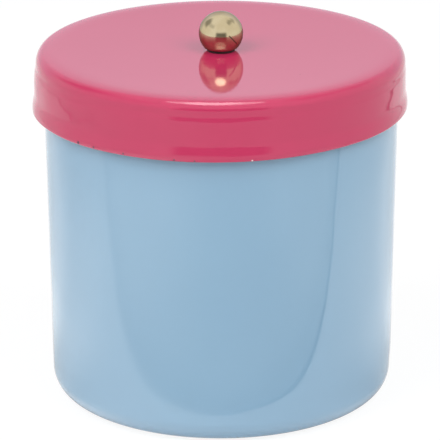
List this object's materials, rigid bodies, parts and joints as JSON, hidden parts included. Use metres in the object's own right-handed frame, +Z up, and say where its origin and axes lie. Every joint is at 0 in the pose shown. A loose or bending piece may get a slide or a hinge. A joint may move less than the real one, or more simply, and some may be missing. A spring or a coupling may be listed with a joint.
{
  "type": "storage jar",
  "caption": "Round enamelled steel storage jar: a slightly tapered cup with a rolled rim, and a flat lift-off cap lid with a brass ball knob, for dry goods.",
  "frame": {"origin": "middle of the standing face, at the foot of the jar's axis", "axes": "+Z up along the jar's axis; the jar is round, so X and Y are free, and the picture looks along +Y"},
  "size_m": [0.155, 0.155, 0.1648],
  "materials": {
    "body_enamel": "gloss light blue enamel",
    "lid_enamel": "gloss pink enamel",
    "knob_brass": "polished, slightly tarnished brass",
    "dark_washer": "matt black rubber",
    "fixing_steel": "bright zinc-plated steel"
  },
  "bodies": {
    "jar": {"jar_body": "body_enamel"},
    "lid": {"lid_shell": "lid_enamel", "knob": "knob_brass", "knob_seat_washer": "dark_washer", "knob_screw": "fixing_steel", "flat_washer": "fixing_steel", "lock_washer": "fixing_steel"}
  },
  "joints": [
    {"name": "lid_lift", "type": "slide", "parent": "jar", "child": "lid", "axis": [0, 0, 1], "range_m": [0, 0.16]}
  ]
}
